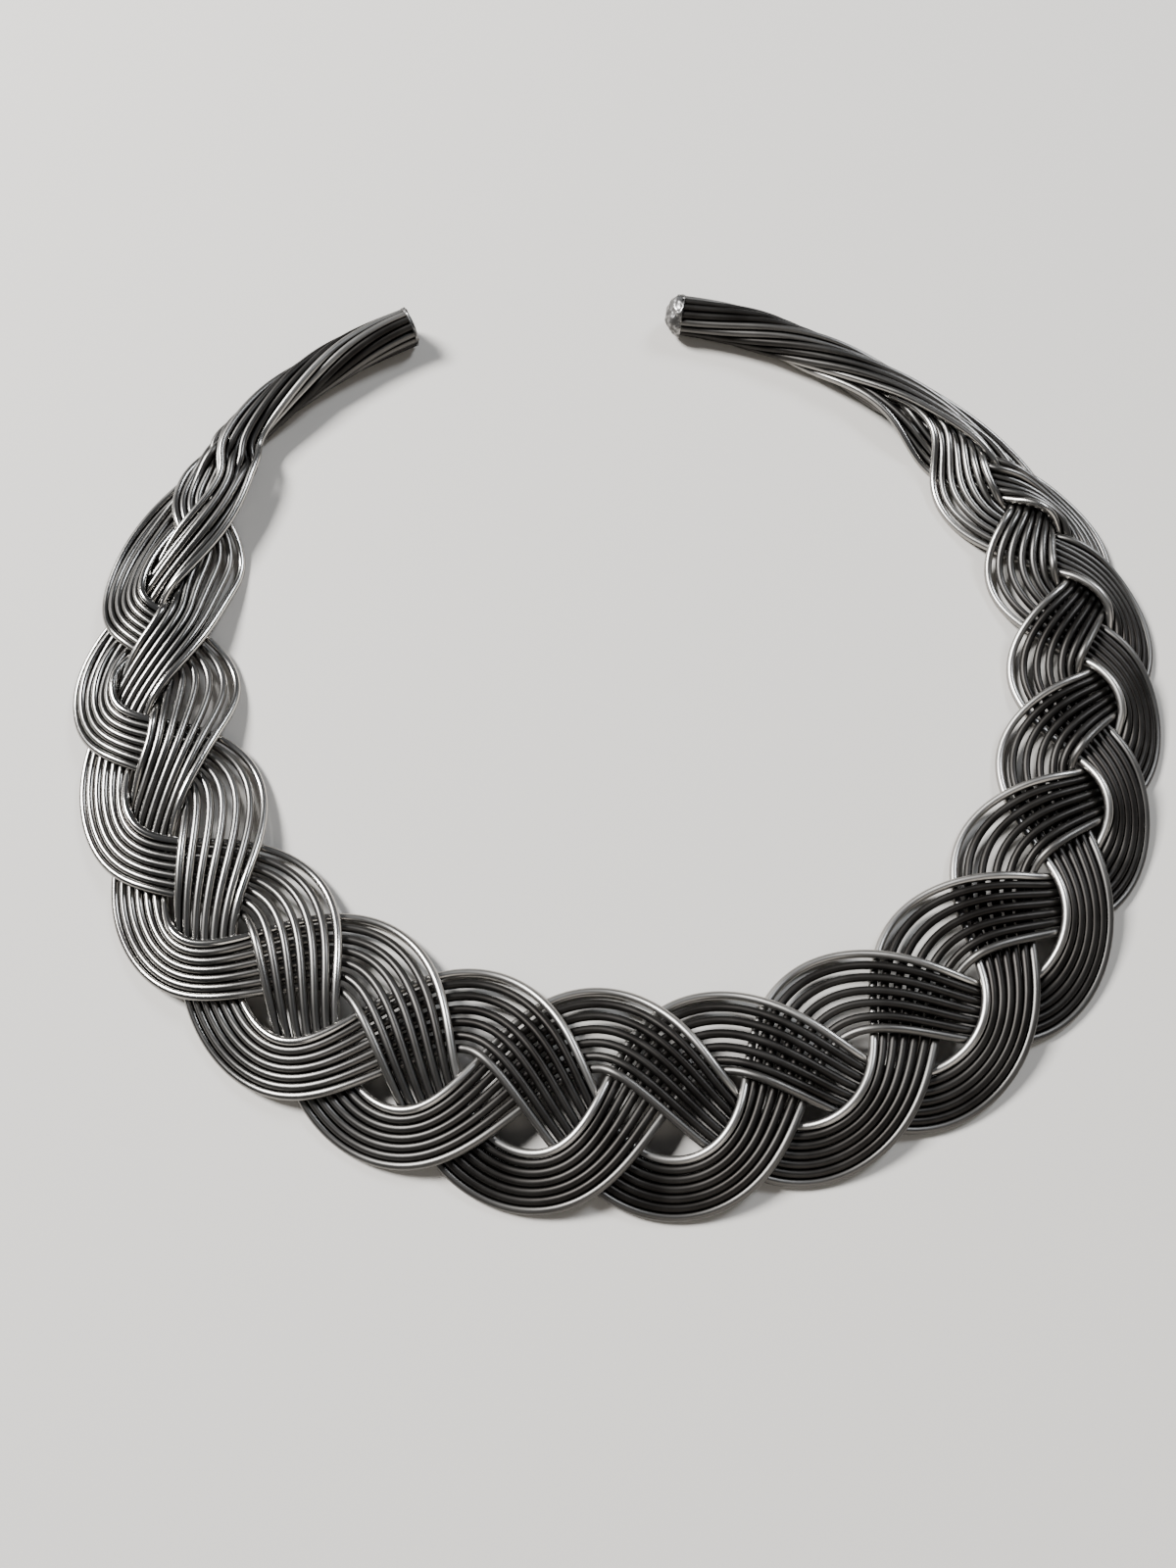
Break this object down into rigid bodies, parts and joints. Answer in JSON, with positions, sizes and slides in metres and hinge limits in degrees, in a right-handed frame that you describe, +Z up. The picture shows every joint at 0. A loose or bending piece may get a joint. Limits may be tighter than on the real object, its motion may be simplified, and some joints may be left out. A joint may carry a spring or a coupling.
{
  "type": "hasli necklace",
  "caption": "Rigid open silver collar plaited flat from three ribbons of round wire, its ends drawn into twisted ropes closed with solder.",
  "frame": {"origin": "on the table under the middle of the collar's outline", "axes": "+Z up, the front of the collar toward -Y, the gap behind the neck toward +Y"},
  "size_m": [0.1722, 0.16, 0.0072],
  "materials": {
    "silver_wire": "darkened silver, worn bright on the high wires, satin to half gloss",
    "solder": "silver solder, lumpy, half gloss"
  },
  "bodies": {
    "root": {"strand_a_wire_1": "silver_wire", "strand_a_wire_2": "silver_wire", "strand_a_wire_3": "silver_wire", "strand_a_wire_4": "silver_wire", "strand_a_wire_5": "silver_wire", "strand_a_wire_6": "silver_wire", "strand_a_wire_7": "silver_wire", "strand_b_wire_1": "silver_wire", "strand_b_wire_2": "silver_wire", "strand_b_wire_3": "silver_wire", "strand_b_wire_4": "silver_wire", "strand_b_wire_5": "silver_wire", "strand_b_wire_6": "silver_wire", "strand_b_wire_7": "silver_wire", "strand_c_wire_1": "silver_wire", "strand_c_wire_2": "silver_wire", "strand_c_wire_3": "silver_wire", "strand_c_wire_4": "silver_wire", "strand_c_wire_5": "silver_wire", "strand_c_wire_6": "silver_wire", "strand_c_wire_7": "silver_wire", "left_end_cap": "solder", "right_end_cap": "solder"}
  },
  "joints": []
}
